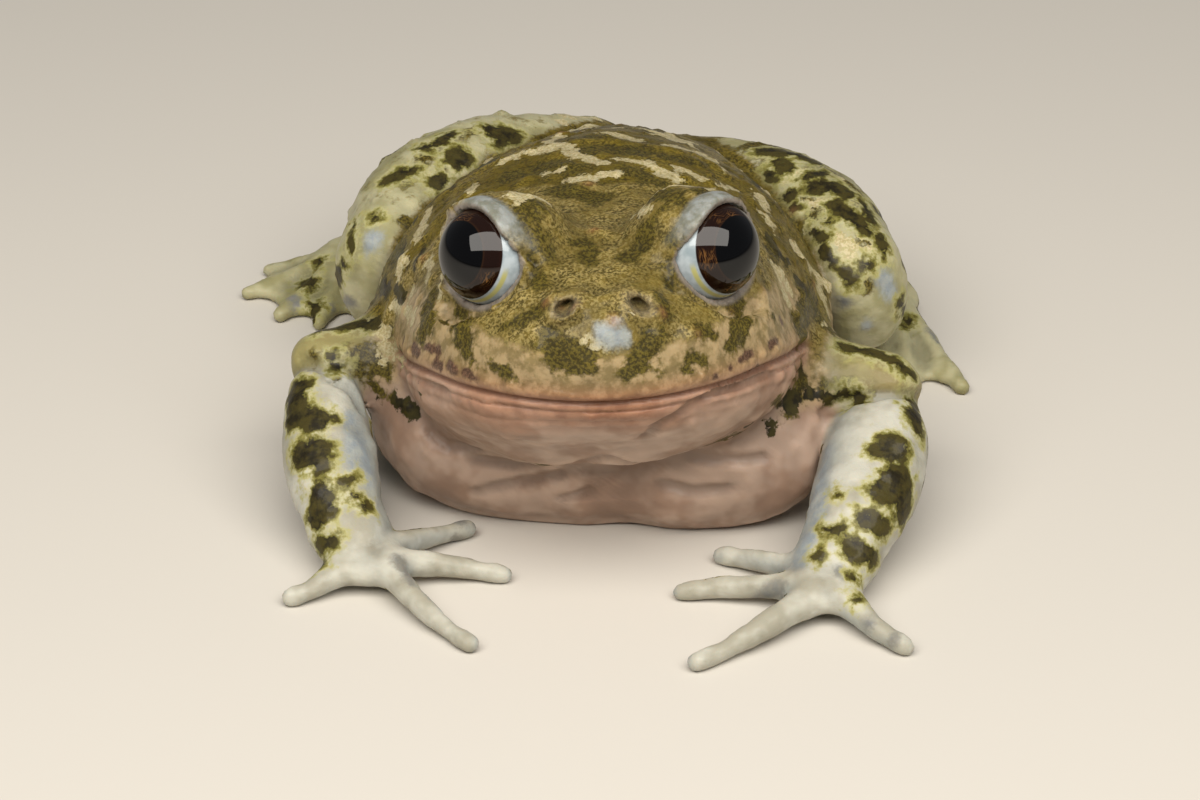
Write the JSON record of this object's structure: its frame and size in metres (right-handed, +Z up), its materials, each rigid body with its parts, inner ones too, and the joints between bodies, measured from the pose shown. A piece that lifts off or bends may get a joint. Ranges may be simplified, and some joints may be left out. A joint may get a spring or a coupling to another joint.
{
  "type": "eastern spadefoot",
  "caption": "Adult eastern spadefoot, a stocky burrowing frog, sitting low on its belly with raised head, bulging eyes, splayed hands and folded hind legs.",
  "frame": {"origin": "centre of the bounding box on the floor that the belly, hands and feet rest on", "axes": "the snout points along -Y, the animal's left side is +X, and +Z is up"},
  "size_m": [0.0627, 0.0749, 0.0302],
  "materials": {
    "skin": "moist, finely granular, olive blotches on pale grey-green",
    "eye": "wet, clear, near black with a fine golden rim",
    "spade": "smooth horn"
  },
  "bodies": {
    "root": {"head": "skin", "torso": "skin", "upper_arm_left": "skin", "forearm_left": "skin", "hand_left": "skin", "upper_arm_right": "skin", "forearm_right": "skin", "hand_right": "skin", "thigh_left": "skin", "shank_left": "skin", "foot_left": "skin", "thigh_right": "skin", "shank_right": "skin", "foot_right": "skin", "eye_left": "eye", "eye_right": "eye", "spade_left": "spade", "spade_right": "spade"}
  },
  "joints": []
}
